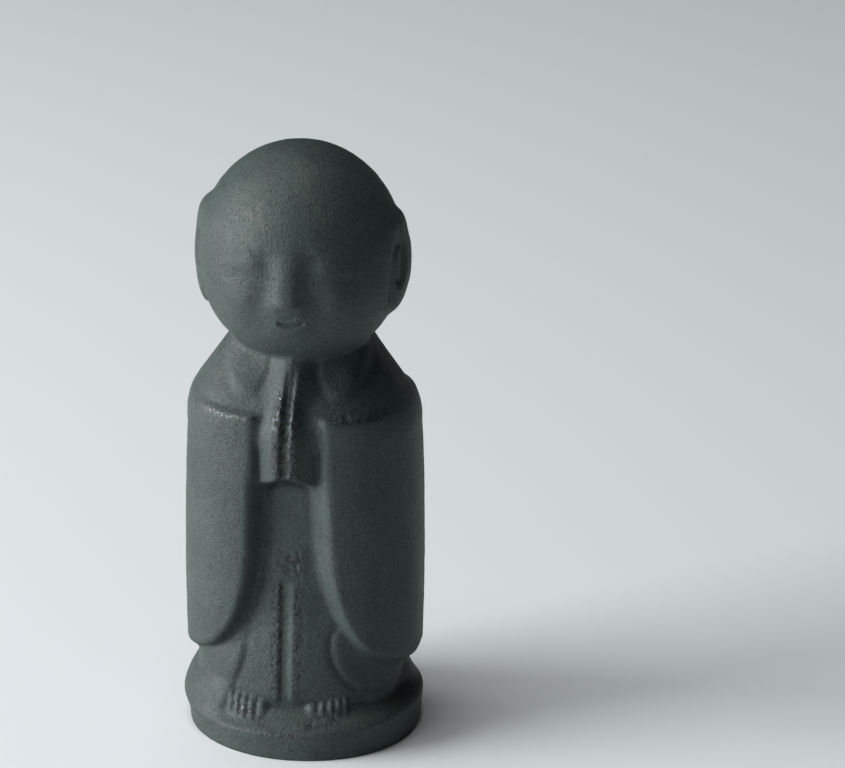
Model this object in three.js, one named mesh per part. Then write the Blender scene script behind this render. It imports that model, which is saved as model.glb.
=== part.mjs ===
import * as THREE from 'three';

// Small jizo figure with an oval base, one solid iron casting.
// Millimetres, +Z up, front towards -Y, underside of the base on Z = 0.

// Overall
const HEIGHT = 90;
const CORE_WIDTH = 12;

// Oval base
const BASE_WIDTH = 35;
const BASE_DEPTH = 32.6;
const BASE_WALL = 4.2;
const BASE_POWER = 2.08;
const BASE_DOME = 0.7;
const BASE_DOME_REACH = 3;
const RIM_ROUND = 0.9;

// Ledges: how far the body stands inside the edge of the base
const ROBE_SIDE_LEDGE = 0.1;
const ROBE_FRONT_LEDGE = 1.8;
const ROBE_BACK_LEDGE = 4.1;
const UNDER_SIDE_LEDGE = 2.9;
const UNDER_BACK_LEDGE = 4.4;
const FOOT_LEDGE = 2.9;

// Robe body, under the shoulders
const ROBE_WIDTH = BASE_WIDTH - 2 * ROBE_SIDE_LEDGE;
const ROBE_WIDEST_Z = 25;
const ROBE_TAPER = 0.00107;
const ROBE_CENTRE_Y = 0.6;
const ROBE_FRONT = BASE_DEPTH / 2 - ROBE_FRONT_LEDGE;
const ROBE_BACK = BASE_DEPTH / 2 - ROBE_BACK_LEDGE;
const FRONT_POWER = 2.35;
const BACK_POWER = 2.8;

// Shoulders, set in from the robe, and the neck they lean back to
const SHOULDER_Z = 56.9;
const SHOULDER_INSET = 4.5;
const SHOULDER_HALF = ROBE_WIDTH / 2 - SHOULDER_INSET;
const SHOULDER_SLOPE = 0.68;
const SHOULDER_ROUND = 1.4;
const CHEST_INSET = 1.3;
const CHEST_FRONT = ROBE_FRONT - CHEST_INSET;
const CHEST_TOP_Z = 70;
const NECK_FRONT_INSET = 7.3;
const NECK_FRONT = ROBE_FRONT - NECK_FRONT_INSET;
const NECK_BACK_INSET = 3.6;
const NECK_BACK = ROBE_BACK - NECK_BACK_INSET;
const NECK_LEAN = 2.2;

// Soft roll of collar beside each hand
const COLLAR_X = 6.9;
const COLLAR_Z = 59.8;
const COLLAR_HALF_X = 3.3;
const COLLAR_HALF_Z = 5;
const COLLAR_RISE = 0.42;

// Sleeves
const SLEEVE_TOP_Z = 52.5;
const SLEEVE_HEM_Z = 13.9;
const SLEEVE_TURN_Z = 33;
const SLEEVE_EDGE_X = 5.4;
const SLEEVE_EDGE_LEAN = 0.04;
const SLEEVE_CORNER_X = 9.8;
const SLEEVE_CORNER_POWER = 2.2;
const SLEEVE_DRAFT = 0.82;
const SLEEVE_SIDE_DROP = 2.3;
const SLEEVE_BACK_DROP = 3;

// Joined hands
const HANDS_TOP_Z = 61.5;
const HANDS_FOOT_Z = 42.3;
const HANDS_AHEAD = 0.6;
const HANDS_REACH = ROBE_FRONT + HANDS_AHEAD;
const HANDS_LEAN = 4.4;
const HANDS_CREST_X = 1.75;
const HANDS_HALF_LOW = 5.1;
const HANDS_HALF_TOP = 3;
const HANDS_SIDE_DEPTH = 3.9;
const HANDS_GROOVE = 0.45;

// Belly, belt and knot
const BELLY_INSET = 3.4;
const BELLY_FRONT = ROBE_FRONT - BELLY_INSET;
const CORE_TOP_Z = 50;
const BELT_LOW_Z = 26.2;
const BELT_TOP_Z = 31.8;
const BELT_RISE = 0.3;
const KNOT_Z = 29.2;
const KNOT_HALF = 2.45;
const KNOT_RISE = 0.35;

// Skirt front, with the two hanging sash ends as one low swell parted by a groove
const SKIRT_LOW_INSET = 1.9;
const SKIRT_LOW_FRONT = ROBE_FRONT - SKIRT_LOW_INSET;
const SKIRT_HEM_Z = 8;
const HEM_STEP = 0.15;
const SASH_HALF = 3.4;
const SASH_RISE = 0.6;
const SASH_CUT = 0.5;

// Outer robe below the sleeves, flaring out over the base
const UNDER_HALF = BASE_WIDTH / 2 - UNDER_SIDE_LEDGE;
const UNDER_FRONT_INSET = 1.3;
const UNDER_FRONT = ROBE_FRONT - UNDER_FRONT_INSET;
const UNDER_SINK = 0.7;
const UNDER_BACK = BASE_DEPTH / 2 - UNDER_BACK_LEDGE;
const FLARE = 2.6;
const FLARE_FRONT_SHARE = 0.12;
const FLARE_BACK_SHARE = 1.35;
const FLARE_TOP_Z = 9.7;
const PANEL_HALF = 5.75;
const PANEL_SPREAD = 0.042;
const PANEL_TURN_Z = 18.8;
const UNDER_TOP_Z = 24;

// Feet
const FOOT_X = 5.9;
const FOOT_HALF = 2.9;
const FOOT_REACH = BASE_DEPTH / 2 - FOOT_LEDGE;
const FOOT_TOP_Z = 8;

// Head and ears
const HEAD_CENTRE_Y = -2.4;
const HEAD_CENTRE_Z = 74.3;
const HEAD_HALF_X = 14.6;
const HEAD_HALF_Y = 13.2;
const JAW_POWER = 2.3;
const EAR_OUT = 1.1;
const EAR_X = HEAD_HALF_X - EAR_OUT;
const EAR_Y = -2.6;
const EAR_Z = 73;
const EAR_HALF = [1.8, 3.9, 7.3];
const EAR_TURN = 0.3;
const EAR_HOLLOW = [1.35, 1.9, 4.9];

// Face
const EYE_X = 6.4;
const EYE_Z = 75.7;
const BROW_Z = 79;
const NOSE_FOOT_Z = 70.2;
const NOSE_TOP_Z = 79;
const NOSE_HALF = 2.1;
const NOSE_RISE = 1.05;
const MOUTH_Z = 67.4;
const MUZZLE_HALF = 3.2;

// Facets: columns round the figure, rows up the side, rows over the crown
const COLUMNS = 86;
const SIDE_ROWS = 48;
const CROWN_ROWS = 9;
const FRONT_CROWDING = 0.5;
const EDGE_COLUMN = 0.34;
const EDGE_COLUMN_REACH = 0.62;
const SEARCH_REACH = 22;
const SEARCH_STEPS = 110;
const HALVINGS = 22;

const clamp01 = (t) => Math.min(1, Math.max(0, t));
const ramp = (from, to, t) => {
  const s = clamp01((t - from) / (to - from));
  return s * s * (3 - 2 * s);
};
const softMin = (a, b, k) => {
  const h = clamp01(0.5 + (0.5 * (b - a)) / k);
  return b + (a - b) * h - k * h * (1 - h);
};
const softMax = (a, b, k) => -softMin(-a, -b, k);
const hill = (t, power) => Math.exp(-Math.pow(Math.abs(t), power));

// Gap to an oval outline with its own half depth in front and behind: below zero inside
function ovalGap(x, y, half, front, back, power) {
  const depth = y < 0 ? front : back;
  const q = Math.pow(Math.abs(x / half) ** power + Math.abs(y / depth) ** power + 1e-12, 1 / power);
  return Math.hypot(x, y, 1e-4) * (1 - 1 / Math.max(q, 1e-6));
}

// Gap to an egg with three half sizes
function eggGap(x, y, z, half) {
  const q = Math.hypot(x / half[0], y / half[1], z / half[2], 1e-6);
  return Math.hypot(x, y, z, 1e-4) * (1 - 1 / q);
}

function robeHalf(z) {
  const side = ROBE_WIDTH / 2 - ROBE_TAPER * (z - ROBE_WIDEST_Z) ** 2;
  const slope = SHOULDER_HALF - SHOULDER_SLOPE * (z - SHOULDER_Z);
  return softMin(side, slope, SHOULDER_ROUND);
}

function robeBack(z) {
  return ROBE_BACK - (ROBE_BACK - NECK_BACK) * ramp(38, 66, z);
}

// Shoulders and chest, leaning back towards the neck
function chest(x, y, z) {
  const middle = ROBE_CENTRE_Y - NECK_LEAN * ramp(47, 61, z);
  const front = CHEST_FRONT - (CHEST_FRONT - NECK_FRONT) * ramp(50, 62.5, z) + middle;
  const back = robeBack(z) + ROBE_CENTRE_Y - middle;
  let f = ovalGap(x, y - middle, robeHalf(z), front, back, FRONT_POWER);
  const roll = Math.hypot((Math.abs(x) - COLLAR_X) / COLLAR_HALF_X, (z - COLLAR_Z) / COLLAR_HALF_Z);
  f -= COLLAR_RISE * ramp(1, 5, -y) * ramp(1.12, 0.8, roll);
  return softMax(softMax(f, z - CHEST_TOP_Z, 1), SLEEVE_TOP_Z - 5 - z, 1);
}

// Gap to a sleeve's outline with its curved lower corner in front; the hem runs level round the back
function sleeveOutline(x, y, z) {
  const turn = SLEEVE_TURN_Z - SLEEVE_SIDE_DROP * ramp(-9, 0, y) - SLEEVE_BACK_DROP * ramp(1, 9, y);
  const edge = SLEEVE_EDGE_X + SLEEVE_EDGE_LEAN * (SLEEVE_TOP_Z - z);
  const across = Math.max(edge + SLEEVE_CORNER_X - Math.abs(x), 0) * ramp(7, 0, y);
  const down = Math.max(turn - z, 0);
  const p = SLEEVE_CORNER_POWER;
  const sum = (across / SLEEVE_CORNER_X) ** p + (down / (SLEEVE_TURN_Z - SLEEVE_HEM_Z)) ** p;
  const q = Math.max(sum, 1e-9) ** (1 / p);
  return Math.max(Math.hypot(across, down, 1e-3) * (1 - 1 / q), -12);
}

function sleeves(x, y, z) {
  const yc = y - ROBE_CENTRE_Y;
  const power = y < ROBE_CENTRE_Y ? FRONT_POWER : BACK_POWER;
  const body = ovalGap(x, yc, robeHalf(z), ROBE_FRONT, robeBack(z), power);
  const cut = (sleeveOutline(x, y, z) + SLEEVE_DRAFT * body) / Math.hypot(1, SLEEVE_DRAFT);
  const f = softMax(body, cut, 0.9);
  return softMax(f, (z - SLEEVE_TOP_Z) * 0.8, 0.8);
}

// Belly, belt, knot and skirt front between the sleeves; plain round the back
function core(x, y, z) {
  const front = BELLY_FRONT + (SKIRT_LOW_FRONT - BELLY_FRONT) * ramp(26, SKIRT_HEM_Z, z);
  const half = Math.min(UNDER_HALF, robeHalf(z) - 0.9);
  const power = y < ROBE_CENTRE_Y ? FRONT_POWER : BACK_POWER;
  let f = ovalGap(x, y - ROBE_CENTRE_Y, half, front + ROBE_CENTRE_Y, robeBack(z), power);
  const ahead = ramp(3, 7, -y);
  const belt = ramp(BELT_LOW_Z - 0.8, BELT_LOW_Z + 0.8, z) * ramp(BELT_TOP_Z + 1, BELT_TOP_Z - 0.6, z);
  const knot = hill(x / KNOT_HALF, 6) * hill((z - KNOT_Z) / KNOT_HALF, 6);
  const skirt = ramp(BELT_LOW_Z + 0.6, BELT_LOW_Z - 0.8, z) * ramp(SKIRT_HEM_Z - 0.4, SKIRT_HEM_Z + 0.4, z);
  const sash = SASH_RISE * hill(x / SASH_HALF, 2) - SASH_CUT * hill(x / 0.55, 2);
  f -= ahead * (BELT_RISE * belt + KNOT_RISE * knot + skirt * sash);
  f += ahead * HEM_STEP * ramp(SKIRT_HEM_Z + 0.25, SKIRT_HEM_Z - 0.25, z);
  return softMax(softMax(f, z - CORE_TOP_Z, 1), BASE_WALL - 0.5 - z, 0.35);
}

// Outer robe under the sleeves, open at the front over the skirt panel
function underRobe(x, y, z) {
  const t = clamp01((z - BASE_WALL) / (FLARE_TOP_Z - BASE_WALL));
  const flare = FLARE * (1 - t ** 1.8);
  const power = y < ROBE_CENTRE_Y ? FRONT_POWER : BACK_POWER - 0.5;
  const front = UNDER_FRONT + ROBE_CENTRE_Y + FLARE_FRONT_SHARE * flare - UNDER_SINK * ramp(11, 19, z);
  const back = UNDER_BACK + FLARE_BACK_SHARE * flare;
  let f = ovalGap(x, y - ROBE_CENTRE_Y, UNDER_HALF + flare, front, back, power);
  const panel = PANEL_HALF + PANEL_SPREAD * (z - PANEL_TURN_Z) ** 2;
  const cut = y < 2 ? (panel - Math.abs(x) + 0.9 * f) / Math.hypot(1, 0.9) : -9;
  f = softMax(f, cut, 0.9);
  return softMax(softMax(f, z - UNDER_TOP_Z, 1), BASE_WALL - 0.6 - z, 0.4);
}

// Base plate, its top rising from the rim to the foot of the robe
function base(x, y, z) {
  const f = ovalGap(x, y, BASE_WIDTH / 2, BASE_DEPTH / 2, BASE_DEPTH / 2, BASE_POWER);
  const top = BASE_WALL + BASE_DOME * Math.min(Math.max(-f, 0), BASE_DOME_REACH);
  return softMax(f, (z - top) / Math.hypot(1, BASE_DOME), RIM_ROUND);
}

// Joined hands: two raised finger edges with a groove, sides falling away to the chest
function hands(x, y, z) {
  const d = -y;
  const reach = HANDS_REACH - HANDS_LEAN * ramp(49, 63, z) - 0.4 * ramp(49, HANDS_FOOT_Z, z);
  const half = HANDS_HALF_LOW + (HANDS_HALF_TOP - HANDS_HALF_LOW) * ramp(48, 61, z);
  const crest = HANDS_CREST_X - 0.6 * ramp(48, 58, z);
  const lean = (half - crest) / HANDS_SIDE_DEPTH;
  const side = (Math.abs(x) - crest - (reach - d) * lean) / Math.hypot(1, lean);
  let f = softMax(d - reach, side, 0.7);
  f += HANDS_GROOVE * hill(x / 0.5, 2) * ramp(HANDS_TOP_Z, 57, z);
  f = softMax(f, (HANDS_FOOT_Z + (d - 12) * 0.3 - z) * 0.9, 0.4);
  return softMax(softMax(f, z - HANDS_TOP_Z, 2.2), 5 - d, 0.5);
}

// Each foot as one low block, its front rounding back towards the little toe
function feet(x, y, z) {
  const u = Math.abs(x) - FOOT_X;
  const reach = FOOT_REACH - 0.06 * Math.max(u + FOOT_HALF, 0) ** 1.7 - 0.2 * (z - BASE_WALL);
  const block = softMax(Math.abs(u) - FOOT_HALF, -y - reach, 0.9);
  return softMax(softMax(block, z - FOOT_TOP_Z, 1), y + 5, 0.5);
}

function ears(x, y, z) {
  const u = Math.abs(x) - EAR_X;
  const v = y - EAR_Y;
  const c = Math.cos(EAR_TURN);
  const s = Math.sin(EAR_TURN);
  const pad = eggGap(u * c - v * s, u * s + v * c, z - EAR_Z, EAR_HALF);
  return softMax(pad, -eggGap(u - 1.9, v + 1.6, z - EAR_Z - 0.6, EAR_HOLLOW), 0.35);
}

// An egg, squarer at the jaw, with the low forms of the face
function head(x, y, z) {
  const full = z < HEAD_CENTRE_Z ? JAW_POWER : 2;
  const yc = y - HEAD_CENTRE_Y;
  const zc = z - HEAD_CENTRE_Z;
  const level = Math.hypot(x / HEAD_HALF_X, yc / HEAD_HALF_Y, 1e-4);
  const q = (level ** full + Math.abs(zc / (HEIGHT - HEAD_CENTRE_Z)) ** full) ** (1 / full);
  let f = Math.hypot(x, yc, zc) * (1 - 1 / Math.max(q, 1e-3));
  const ahead = ramp(1, 6, -yc);
  const u = Math.abs(x);
  const low = clamp01((NOSE_TOP_Z - z) / (NOSE_TOP_Z - NOSE_FOOT_Z));
  f += ahead * 0.32 * hill((u - EYE_X) / 4, 2) * hill((z - EYE_Z) / 2.7, 2);
  f += ahead * 0.38 * hill((u - 3 - 0.28 * (EYE_Z - z)) / 1.5, 2) * hill((z - 73) / 5, 4);
  f -= ahead * 0.12 * hill((u - 5.4) / 3.4, 6) * hill((z - BROW_Z + 0.11 * (u - 4.5) ** 2) / 0.9, 2);
  f -= ahead * 0.36 * hill((u - EYE_X) / 2.6, 3) * hill((z - EYE_Z + 0.03 * (u - EYE_X) ** 2) / 1.4, 3);
  const nose = NOSE_RISE * low ** 0.9 * ramp(NOSE_FOOT_Z - 1.7, NOSE_FOOT_Z + 0.8, z);
  f -= ahead * nose * hill(x / (NOSE_HALF * (0.57 + 0.43 * low)), 3.2);
  f -= ahead * 0.55 * hill(x / MUZZLE_HALF, 3) * hill((z - MOUTH_Z - 0.3) / 3, 3);
  f -= ahead * 0.4 * hill((u - 7) / 2.8, 2) * hill((z - 70) / 3.4, 2);
  f += ahead * 0.25 * hill((z - MOUTH_Z - 0.12 * x * x) / 0.5, 2) * ramp(2.2, 1.7, u);
  return f;
}

// The whole casting: below zero in the iron, above zero outside
function figure(x, y, z) {
  let f = softMin(chest(x, y, z), core(x, y, z), 1);
  f = softMin(f, sleeves(x, y, z), 0.5);
  f = softMin(f, hands(x, y, z), 0.6 + 2 * ramp(53, 60, z));
  f = softMin(f, underRobe(x, y, z), 0.35 + 2.2 * ramp(9.5, 6.5, z) * ramp(-2, -6, y));
  f = softMin(f, base(x, y, z), 0.6);
  f = softMin(f, feet(x, y, z), 0.45);
  const merge = 0.35 + 2.2 * ramp(75, 80, z);
  return softMin(f, softMin(head(x, y, z), ears(x, y, z), merge), 0.9);
}

// Outermost point of the casting on a line from its core
function outermost(from, dir) {
  const step = SEARCH_REACH / SEARCH_STEPS;
  const at = (t) => figure(from[0] + dir[0] * t, from[1] + dir[1] * t, from[2] + dir[2] * t);
  let t = SEARCH_REACH;
  while (t > step && at(t) > 0) t -= step;
  let low = t;
  let high = t + step;
  for (let i = 0; i < HALVINGS; i += 1) {
    const mid = (low + high) / 2;
    if (at(mid) < 0) low = mid;
    else high = mid;
  }
  return [0, 1, 2].map((i) => from[i] + dir[i] * low);
}

// Heights of the rows: closer together at the base, hem, hands and face
function rowHeights() {
  const weight = (z) => 1
    + 1.6 * hill((z - BASE_WALL) / 1.2, 2)
    + 1.3 * hill((z - 8.5) / 2, 2)
    + 1.5 * hill((z - SLEEVE_HEM_Z - 0.6) / 2.6, 2)
    + 0.7 * hill((z - HANDS_FOOT_Z) / 1.2, 2)
    + 1 * hill((z - SLEEVE_TOP_Z) / 1.5, 2)
    + 0.7 * hill((z - 68) / 9, 4);
  const fine = 2000;
  const sums = [0];
  for (let i = 0; i < fine; i += 1) {
    sums.push(sums[i] + weight(((i + 0.5) * HEAD_CENTRE_Z) / fine));
  }
  const heights = [0];
  for (let row = 1; row < SIDE_ROWS; row += 1) {
    const target = (sums[fine] * row) / (SIDE_ROWS - 1);
    let i = 1;
    while (i < fine && sums[i] < target) i += 1;
    heights.push(row === SIDE_ROWS - 1 ? HEAD_CENTRE_Z : (i * HEAD_CENTRE_Z) / fine);
  }
  return heights;
}

// Where the sleeve's inner edge stands at a height, as an angle of the search lines
function edgeAngle(z) {
  const t = clamp01((SLEEVE_TURN_Z - z) / (SLEEVE_TURN_Z - SLEEVE_HEM_Z));
  const lean = SLEEVE_EDGE_X + SLEEVE_EDGE_LEAN * (SLEEVE_TOP_Z - Math.min(z, SLEEVE_TOP_Z));
  const turn = 1 - (1 - t ** SLEEVE_CORNER_POWER) ** (1 / SLEEVE_CORNER_POWER);
  const edge = Math.min(lean + SLEEVE_CORNER_X * turn, 10.5);
  let angle = EDGE_COLUMN;
  for (let i = 0; i < 20; i += 1) {
    angle = Math.asin(edge / (CORE_WIDTH / 2 + (ROBE_FRONT - ROBE_CENTRE_Y) / Math.cos(angle)));
  }
  const near = ramp(SLEEVE_HEM_Z - 10, SLEEVE_HEM_Z + 1, z) * ramp(62, SLEEVE_TOP_Z, z);
  return EDGE_COLUMN + (angle - EDGE_COLUMN) * near;
}

// Column angle, eased so that one column runs along the sleeve's inner edge
function columnAngle(column, z) {
  const t = -1 + (2 * column) / COLUMNS;
  const plain = Math.PI * (t * (1 - FRONT_CROWDING) + FRONT_CROWDING * t ** 3);
  const away = Math.abs(plain) - EDGE_COLUMN;
  const reach = away < 0 ? EDGE_COLUMN : EDGE_COLUMN_REACH;
  const share = Math.cos((Math.min(Math.abs(away) / reach, 1) * Math.PI) / 2) ** 2;
  return plain + Math.sign(plain) * (edgeAngle(z) - EDGE_COLUMN) * share;
}

function figureGeometry() {
  const positions = [];
  const indices = [];
  const lines = rowHeights().map((z) => ({ z, tilt: 0 }));
  for (let k = 1; k <= CROWN_ROWS; k += 1) {
    lines.push({ z: HEAD_CENTRE_Z, tilt: (k * Math.PI) / 2 / (CROWN_ROWS + 1) });
  }
  for (const { z, tilt } of lines) {
    for (let c = 0; c < COLUMNS; c += 1) {
      const around = columnAngle(c, z);
      const flat = Math.cos(tilt);
      const from = [(CORE_WIDTH / 2) * Math.sin(around) * flat, 0, z];
      const dir = [Math.sin(around) * flat, -Math.cos(around) * flat, Math.sin(tilt)];
      positions.push(...outermost(from, dir));
    }
  }
  const crown = positions.length / 3;
  positions.push(...outermost([0, 0, HEAD_CENTRE_Z], [0, 0, 1]));
  const foot = crown + 1;
  positions.push(0, 0, 0);
  const rows = lines.length;
  for (let c = 0; c < COLUMNS; c += 1) {
    const next = (c + 1) % COLUMNS;
    for (let r = 0; r < rows - 1; r += 1) {
      const a = r * COLUMNS;
      const b = a + COLUMNS;
      indices.push(a + c, a + next, b + next, a + c, b + next, b + c);
    }
    const last = (rows - 1) * COLUMNS;
    indices.push(last + c, last + next, crown, next, c, foot);
  }
  const geometry = new THREE.BufferGeometry();
  geometry.setAttribute('position', new THREE.Float32BufferAttribute(positions, 3));
  geometry.setIndex(indices);
  return geometry;
}

const iron = new THREE.MeshStandardMaterial({ color: 0x3f4a48, roughness: 0.75, metalness: 0.4 });
const mesh = new THREE.Mesh(figureGeometry(), iron);
mesh.name = 'jizo_figure';

const group = new THREE.Group();
group.add(mesh);
export default group;
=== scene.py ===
import bpy
import math
import numpy as np
from mathutils import Matrix, Vector


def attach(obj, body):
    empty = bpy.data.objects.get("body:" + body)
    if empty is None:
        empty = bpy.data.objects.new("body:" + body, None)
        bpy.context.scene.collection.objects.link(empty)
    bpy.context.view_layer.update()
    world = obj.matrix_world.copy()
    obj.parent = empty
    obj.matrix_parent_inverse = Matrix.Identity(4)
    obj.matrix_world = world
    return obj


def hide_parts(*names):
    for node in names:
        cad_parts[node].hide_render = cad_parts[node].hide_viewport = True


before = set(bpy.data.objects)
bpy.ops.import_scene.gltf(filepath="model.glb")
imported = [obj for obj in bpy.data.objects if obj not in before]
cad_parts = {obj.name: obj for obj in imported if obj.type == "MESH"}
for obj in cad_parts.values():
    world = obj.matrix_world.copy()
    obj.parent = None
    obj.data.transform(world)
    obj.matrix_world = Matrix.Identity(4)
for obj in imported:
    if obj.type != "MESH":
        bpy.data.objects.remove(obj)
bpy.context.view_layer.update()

# Jizo figure on its oval base. One solid sand casting in iron: head, robe, hands, feet and base
# came out of one mould, so it is one surface here too. Matt grey-green patina over a sandy skin,
# rubbed to dark bare metal on the crests.

# Sizes are in millimetres and the front faces -Y. Each part of the casting is a gap: how far a
# point lies outside it, below zero inside. A pair of sizes is left and right, a span start and end.
# TINY and HAIR keep a root or a division from meeting nought.
HEIGHT = 90.0
TINY, HAIR = 1e-12, 0.001


def ramp(start, end, t):
    """Smooth step: 0 up to start, 1 from end on, 3s^2 - 2s^3 of the share s between."""
    s = np.clip((t - start) / (end - start), 0.0, 1.0)
    return s * s * (3.0 - 2.0 * s)


def above(level, ease, z):
    """Smooth step from 0 to 1 through a level, eased over this much below and above it."""
    return ramp(level - ease, level + ease, z)


def below(level, ease, z):
    """Smooth step from 1 to 0 through a level, eased over this much below and above it."""
    return ramp(level + ease, level - ease, z)


def rightward(x):
    """0 on the left and 1 on the right, with a smooth step over the middle 2 mm."""
    return ramp(-1.0, 1.0, x)


def sided(x, sizes):
    """The first size left of the middle, the second right of it."""
    return np.where(x < 0, *sizes)


def hill(t, power):
    """A bump of height 1: e to the minus |t|^power."""
    return np.exp(-np.abs(t) ** power)


def soft_min(a, b, k):
    """The smaller of two gaps, rounded over a width k, so two solids join with a fillet."""
    h = np.clip(0.5 + 0.5 * (b - a) / k, 0.0, 1.0)
    return b + (a - b) * h - k * h * (1.0 - h)


def soft_max(a, b, k):
    """The larger of two gaps, rounded over a width k: what two solids have in common."""
    return -soft_min(-a, -b, k)


def oval_gap(x, y, half, front, back, power):
    """Distance past the oval |x/half|^p + |y/depth|^p = 1 along the line from its middle,
    with one depth in front and another behind. Below zero inside."""
    depth = np.where(y < 0, front, back)
    q = (np.abs(x / half) ** power + np.abs(y / depth) ** power + TINY) ** (1.0 / power)
    return np.sqrt(x * x + y * y + HAIR ** 2) * (1.0 - 1.0 / q)


def egg_gap(x, y, z, hx, hy, hz):
    """Distance past an egg with half sizes hx, hy, hz along the line from its middle."""
    q = np.sqrt((x / hx) ** 2 + (y / hy) ** 2 + (z / hz) ** 2 + TINY)
    return np.sqrt(x * x + y * y + z * z + HAIR ** 2) * (1.0 - 1.0 / q)


# Base plate.
BASE_X, BASE_HALF, BASE_DEPTH, BASE_WALL, BASE_POWERS = 0.1, 17.2, 16.25, 4.2, (1.98, 2.08)
BASE_DOME, BASE_DOME_REACH, BASE_LEAN, BASE_DRAFT, RIM_ROUND = 0.7, 3.4, 0.045, 0.09, 0.4


def base(x, y, z):
    """Oval plate with a rounded rim, a little thicker on one side than on the other; its top
    slopes up from the rim to the foot of the robe."""
    f = oval_gap(x - BASE_X, y, BASE_HALF, BASE_DEPTH, BASE_DEPTH, sided(x, BASE_POWERS))
    f = f - BASE_DRAFT * (z - BASE_WALL / 2)
    top = BASE_WALL + BASE_LEAN * x + BASE_DOME * np.clip(-f, 0.0, BASE_DOME_REACH)
    return soft_max(f, (z - top) / math.hypot(1.0, BASE_DOME), RIM_ROUND)


# The robe's oval, which shoulders and sleeves share, and the height of the sleeves' top edges.
SLEEVE_TOP_Z = 52.5
ROBE_HALF, ROBE_WIDEST_Z, ROBE_TAPER = 17.35, 25.0, 0.00107
ROBE_CENTRE_Y, ROBE_FRONT, ROBE_BACK = 0.6, 14.5, 12.2
FRONT_POWER, BACK_POWER = 2.35, 2.8
SHOULDER_Z, SHOULDER_HALVES, SHOULDER_SLOPE, SHOULDER_ROUND = 56.9, (13.15, 12.45), 0.68, 1.5
NECK_BACK, BACK_SPAN = 8.6, (38.0, 66.0)


def robe_half(x, z):
    """Half width of the robe: a slow parabola up the sides, cut by the shoulder's slope."""
    side = ROBE_HALF - ROBE_TAPER * (z - ROBE_WIDEST_Z) ** 2
    slope = sided(x, SHOULDER_HALVES) - SHOULDER_SLOPE * (z - SHOULDER_Z)
    return soft_min(side, slope, SHOULDER_ROUND)


def robe_back(z):
    """Depth of the back, easing in from the waist to the neck."""
    return ROBE_BACK - (ROBE_BACK - NECK_BACK) * ramp(*BACK_SPAN, z)


def robe_power(y):
    """Squareness of the robe's oval: rounder in front than behind."""
    return np.where(y < ROBE_CENTRE_Y, FRONT_POWER, BACK_POWER)


# Chest and collar.
CHEST_FRONT, NECK_FRONT, NECK_SPAN = 13.2, 7.2, (50.0, 62.5)
NECK_LEAN, LEAN_SPAN = 2.2, (47.0, 61.0)
CHEST_LOW_Z, CHEST_TOP_Z, CHEST_ROUND, CHEST_FACE = SLEEVE_TOP_Z - 5.0, 70.0, 1.0, (1.0, 5.0)
ROLL_X, ROLL_Z, ROLL_HALF_X, ROLL_HALF_Z = 6.9, 59.8, 3.3, 5.0
ROLL_RISE, ROLL_SPAN, ROLL_GROOVE, GROOVE_AT, GROOVE_HALF = 0.36, (1.15, 0.8), 0.07, 1.18, 0.12
CREASE_X, CREASE_Z, CREASE_SLANT, CREASE_DEPTH = 9.6, 57.0, 0.3, 0.1
CREASE_HALF_X, CREASE_HALF_Z = 0.7, 2.4


def chest(x, y, z):
    """Oval shoulders leaning back to the neck, with a soft roll of collar beside each hand."""
    middle = ROBE_CENTRE_Y - NECK_LEAN * ramp(*LEAN_SPAN, z)
    front = CHEST_FRONT - (CHEST_FRONT - NECK_FRONT) * ramp(*NECK_SPAN, z) + middle
    back = robe_back(z) + ROBE_CENTRE_Y - middle
    f = oval_gap(x, y - middle, robe_half(x, z), front, back, FRONT_POWER)
    ahead = ramp(*CHEST_FACE, -y)
    roll = np.hypot((np.abs(x) - ROLL_X) / ROLL_HALF_X, (z - ROLL_Z) / ROLL_HALF_Z)
    groove = ROLL_GROOVE * hill((roll - GROOVE_AT) / GROOVE_HALF, 2)
    f = f - ahead * (ROLL_RISE * ramp(*ROLL_SPAN, roll) - groove)
    crease = hill((np.abs(x) - CREASE_X + CREASE_SLANT * (z - CREASE_Z)) / CREASE_HALF_X, 2)
    f = f + ahead * CREASE_DEPTH * crease * hill((z - CREASE_Z) / CREASE_HALF_Z, 4)
    return soft_max(soft_max(f, z - CHEST_TOP_Z, CHEST_ROUND), CHEST_LOW_Z - z, CHEST_ROUND)


# Sleeves. Their inner edges lean outward as they fall, and stand closer beside the hands.
SLEEVE_TURN_Z, SLEEVE_HEM_Z = 33.0, 13.9
SLEEVE_EDGE_X, SLEEVE_LEANS, RIGHT_EDGE_IN, LEFT_EDGE_IN = 5.4, (0.030, 0.047), 0.25, 0.35
LEFT_IN_SPAN = (41.0, 46.0)
SLEEVE_CORNER_X, SLEEVE_CORNER_POWER = 9.8, 2.2
HEM_SIDE_DROP, HEM_SIDE_SPAN, HEM_BACK_DROP, HEM_BACK_SPAN = 2.3, (-9.0, 0.0), 3.0, (1.0, 9.0)
RIGHT_SPAN, LEFT_SPAN, RIGHT_DROP_LESS, CUT_FADE_SPAN = (0.0, 6.0), (0.0, -6.0), 0.25, (7.0, 0.0)
OUTLINE_DEEPEST = -12.0
SLEEVE_DRAFTS, SLEEVE_ROUNDS = (0.65, 0.98), (0.9, 0.65)
SLEEVE_TOP_SLOPE, SLEEVE_TOP_ROUND = 0.8, 0.8


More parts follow.
